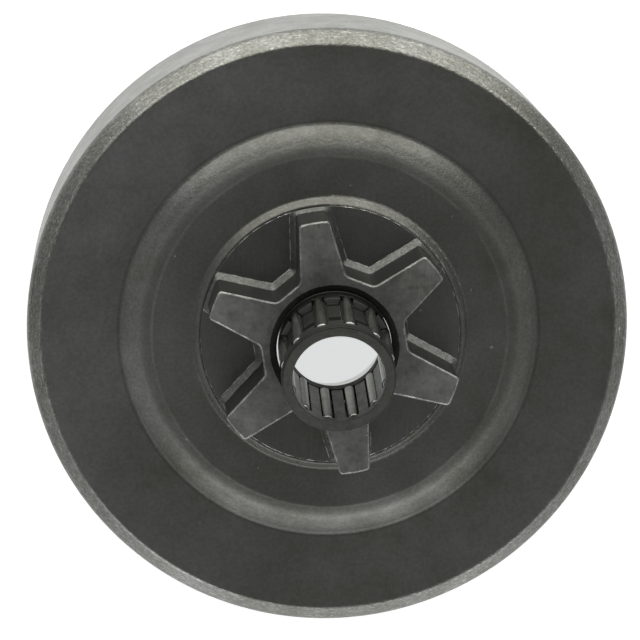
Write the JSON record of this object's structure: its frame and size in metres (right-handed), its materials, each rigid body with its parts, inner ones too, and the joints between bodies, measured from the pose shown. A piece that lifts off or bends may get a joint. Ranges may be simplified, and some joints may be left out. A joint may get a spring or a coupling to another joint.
{
  "type": "chainsaw clutch drum with spur sprocket",
  "caption": "Round clutch drum with a stepped web, a toothed spur sprocket at its centre and a loose needle bearing leaning in the sprocket's bore; it drives a saw chain.",
  "frame": {"origin": "centre of the open rim, on the surface that the drum stands on", "axes": "+Z along the drum's axis from the open rim towards the sprocket; +X and +Y in the rim's plane"},
  "size_m": [0.0702, 0.0702, 0.0393],
  "materials": {
    "drum_steel": "phosphated",
    "sprocket_steel": "phosphated",
    "cage_steel": "phosphated",
    "needle_steel": "ground"
  },
  "bodies": {
    "drum": {"clutch_drum": "drum_steel", "spur_sprocket": "sprocket_steel"},
    "cage": {"needle_cage": "cage_steel"},
    "needle_roller_01": {"needle_roller_01": "needle_steel"},
    "needle_roller_02": {"needle_roller_02": "needle_steel"},
    "needle_roller_03": {"needle_roller_03": "needle_steel"},
    "needle_roller_04": {"needle_roller_04": "needle_steel"},
    "needle_roller_05": {"needle_roller_05": "needle_steel"},
    "needle_roller_06": {"needle_roller_06": "needle_steel"},
    "needle_roller_07": {"needle_roller_07": "needle_steel"},
    "needle_roller_08": {"needle_roller_08": "needle_steel"},
    "needle_roller_09": {"needle_roller_09": "needle_steel"},
    "needle_roller_10": {"needle_roller_10": "needle_steel"},
    "needle_roller_11": {"needle_roller_11": "needle_steel"},
    "needle_roller_12": {"needle_roller_12": "needle_steel"}
  },
  "joints": [
    {"name": "cage_turn", "type": "hinge", "parent": "drum", "child": "cage", "pos_m": [0, 0.00032, 0.02817], "axis": [0, -0.2147, 0.9767], "continuous": true},
    {"name": "needle_01_spin", "type": "hinge", "parent": "cage", "child": "needle_roller_01", "pos_m": [0.00182, -0.00608, 0.03188], "axis": [0, -0.2147, 0.9767], "continuous": true},
    {"name": "needle_02_spin", "type": "hinge", "parent": "cage", "child": "needle_roller_02", "pos_m": [0.00431, -0.00447, 0.03223], "axis": [0, -0.2147, 0.9767], "continuous": true},
    {"name": "needle_03_spin", "type": "hinge", "parent": "cage", "child": "needle_roller_03", "pos_m": [0.00563, -0.00187, 0.03281], "axis": [0, -0.2147, 0.9767], "continuous": true},
    {"name": "needle_04_spin", "type": "hinge", "parent": "cage", "child": "needle_roller_04", "pos_m": [0.00545, 0.00103, 0.03345], "axis": [0, -0.2147, 0.9767], "continuous": true},
    {"name": "needle_05_spin", "type": "hinge", "parent": "cage", "child": "needle_roller_05", "pos_m": [0.00381, 0.00345, 0.03398], "axis": [0, -0.2147, 0.9767], "continuous": true},
    {"name": "needle_06_spin", "type": "hinge", "parent": "cage", "child": "needle_roller_06", "pos_m": [0.00115, 0.00475, 0.03426], "axis": [0, -0.2147, 0.9767], "continuous": true},
    {"name": "needle_07_spin", "type": "hinge", "parent": "cage", "child": "needle_roller_07", "pos_m": [-0.00182, 0.00457, 0.03422], "axis": [0, -0.2147, 0.9767], "continuous": true},
    {"name": "needle_08_spin", "type": "hinge", "parent": "cage", "child": "needle_roller_08", "pos_m": [-0.00431, 0.00297, 0.03387], "axis": [0, -0.2147, 0.9767], "continuous": true},
    {"name": "needle_09_spin", "type": "hinge", "parent": "cage", "child": "needle_roller_09", "pos_m": [-0.00563, 0.00037, 0.0333], "axis": [0, -0.2147, 0.9767], "continuous": true},
    {"name": "needle_10_spin", "type": "hinge", "parent": "cage", "child": "needle_roller_10", "pos_m": [-0.00545, -0.00254, 0.03266], "axis": [0, -0.2147, 0.9767], "continuous": true},
    {"name": "needle_11_spin", "type": "hinge", "parent": "cage", "child": "needle_roller_11", "pos_m": [-0.00381, -0.00496, 0.03213], "axis": [0, -0.2147, 0.9767], "continuous": true},
    {"name": "needle_12_spin", "type": "hinge", "parent": "cage", "child": "needle_roller_12", "pos_m": [-0.00115, -0.00626, 0.03184], "axis": [0, -0.2147, 0.9767], "continuous": true}
  ],
  "couplings": [
    {"joint": "needle_01_spin", "follows": "cage_turn", "ratio": -8.6667},
    {"joint": "needle_02_spin", "follows": "cage_turn", "ratio": -8.6667},
    {"joint": "needle_03_spin", "follows": "cage_turn", "ratio": -8.6667},
    {"joint": "needle_04_spin", "follows": "cage_turn", "ratio": -8.6667},
    {"joint": "needle_05_spin", "follows": "cage_turn", "ratio": -8.6667},
    {"joint": "needle_06_spin", "follows": "cage_turn", "ratio": -8.6667},
    {"joint": "needle_07_spin", "follows": "cage_turn", "ratio": -8.6667},
    {"joint": "needle_08_spin", "follows": "cage_turn", "ratio": -8.6667},
    {"joint": "needle_09_spin", "follows": "cage_turn", "ratio": -8.6667},
    {"joint": "needle_10_spin", "follows": "cage_turn", "ratio": -8.6667},
    {"joint": "needle_11_spin", "follows": "cage_turn", "ratio": -8.6667},
    {"joint": "needle_12_spin", "follows": "cage_turn", "ratio": -8.6667}
  ]
}
